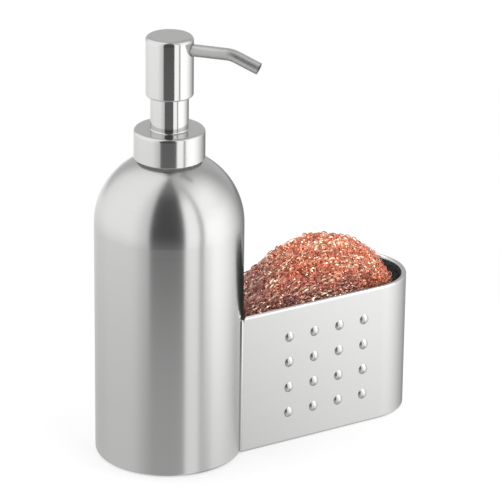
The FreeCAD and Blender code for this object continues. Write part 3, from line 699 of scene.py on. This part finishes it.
def copper(name, pieces, colours, roughness, metallic):
    """Copper strand: worn bright with a painted highlight on its loops, and darkened with painted shade
    low down and at the end by the bottle.
    """
    place, shader = finish(name, pieces)
    patch = place.add("TexNoise", {}, {"Vector": place, "Scale": PATCH_SCALE, "Detail": 2.0})
    speck = place.add("TexNoise", {}, {"Vector": place, "Scale": SPECK_SCALE, "Detail": 2.0})
    width, depth, height = (place.add("SeparateXYZ", {}, {0: place}, way) for way in "XYZ")
    # Painted shade: low down on the side by the bottle, and at the pad's end by the bottle
    low = (height + (patch - 0.5) * PAINTED_SHADE_HEIGHT_DRIFT).ramp(*PAINTED_SHADE_HEIGHT)
    left_end = (width - depth * PAINTED_SHADE_END_SLANT).ramp(*PAINTED_SHADE_END)
    painted_shade = place.math("MAXIMUM", low * width.ramp(*PAINTED_SHADE_REACH), left_end)
    bright = (patch * 0.5 + speck * 0.5).ramp(*SPECK_TONES).mix(*colours)
    # Painted highlight with wear on the loops' crowns
    wear_and_highlight = place.add("Attribute", {"attribute_name": "wear_and_highlight"}, {}, "Fac")
    feed(
        shader,
        Base_Color=wear_and_highlight.mix((painted_shade * PAINTED_SHADE_SHARE).mix(bright, COPPER_PAINTED_SHADE), COPPER_WEAR_AND_HIGHLIGHT),
        Roughness=roughness + (speck - 0.5) * SPECK_ROUGHENS)
    shader.inputs["Metallic"].default_value = metallic


# Outer strand of the pad: bright copper, rolled flat and knitted. A layer of loose loops stands up
# from the knit.
BRIGHT_COPPER = ((0.57, 0.13, 0.07, 1), (0.70, 0.20, 0.11, 1))
BRIGHT_ROUGHNESS = 0.13
BRIGHT_METALLIC = 0.6
fluff = knit(
    "pad_loose_loops", inset=0.0011, stitch=0.0036, row=0.0032, loop_height=0.0018, stand=0.0007,
    strand=(0.0006, 0.0002), steps=16, seed=31)
outer = knit(
    "pad_outer_knit", inset=0.0016, stitch=0.0026, row=0.0015, loop_height=0.0014, stand=0.0003,
    strand=(0.00065, 0.0002), steps=12, seed=11)
copper("bright_copper", [fluff, outer], BRIGHT_COPPER, BRIGHT_ROUGHNESS, BRIGHT_METALLIC)


# Inner strand of the pad: duller and wider, over a core that stands for the strand wadded inside,
# of which only the top layers show.
DULL_COPPER = ((0.50, 0.145, 0.095, 1), (0.66, 0.21, 0.13, 1))
DULL_ROUGHNESS = 0.4
DULL_METALLIC = 0.1
CORE_INSET = 0.0029
CORE_SEGMENTS = 96
CORE_RINGS = 64
inner = knit(
    "pad_inner_knit", inset=0.0021, stitch=0.0032, row=0.0018, loop_height=0.0017, stand=0.0003,
    strand=(0.0009, 0.0003), steps=9, seed=23)
bpy.ops.mesh.primitive_uv_sphere_add(segments=CORE_SEGMENTS, ring_count=CORE_RINGS)
core = bpy.context.object
core.name = "pad_core"
directions = np.array([vertex.co for vertex in core.data.vertices])
core_along = 0.5 + np.arcsin(directions[:, 2].clip(-1, 1)) / math.pi
core_angle = np.arctan2(directions[:, 1], directions[:, 0])
core_places, core_normals = cake(core_along, core_angle, CORE_INSET)
core_lumps = PAD_LUMP * uneven(core_places, PAD_LUMP_LENGTH, PAD_SEED)
core_places = settle(core_places + core_normals * core_lumps[:, None], CORE_INSET)
core.data.vertices.foreach_set("co", core_places.astype(np.float32).ravel())
core.data.flip_normals()
core.data.shade_smooth()
core.select_set(False)
copper("dull_copper", [inner, core], DULL_COPPER, DULL_ROUGHNESS, DULL_METALLIC)

# The steel beside the pad mirrors hardly any copper in the photograph, so mirrors leave it out
for piece in (fluff, outer, inner, core):
    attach(piece, "pad")
    piece.visible_glossy = False
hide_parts("scouring_pad")


# Spark lamps: two small soft boxes, high behind the object and high on the right, flagged so that
# they light only the pad and the caddy's wall. They give the glints on the copper and the hem.

# Name, place, width and power of each lamp
SPARK_LAMPS = (
    ("spark_lamp_back", (0.095, 0.125, 0.385), 0.16, 0.45),
    ("spark_lamp_right", (0.29, -0.16, 0.27), 0.11, 0.34))
sparked = bpy.data.collections.new("sparked")
for piece in (fluff, outer, inner, core, nodes["caddy_wall"]):
    sparked.objects.link(piece)
for lamp_name, lamp_place, lamp_width, lamp_power in SPARK_LAMPS:
    lamp = bpy.data.objects.new(lamp_name, bpy.data.lights.new(lamp_name, "AREA"))
    bpy.context.scene.collection.objects.link(lamp)
    lamp.data.size = lamp_width
    lamp.data.energy = lamp_power
    lamp.location = lamp_place
    lamp.rotation_euler = (Vector(lamp_place) - Vector(pad_centre)).to_track_quat("Z", "Y").to_euler()
    lamp.visible_camera = False
    lamp.light_linking.receiver_collection = sparked
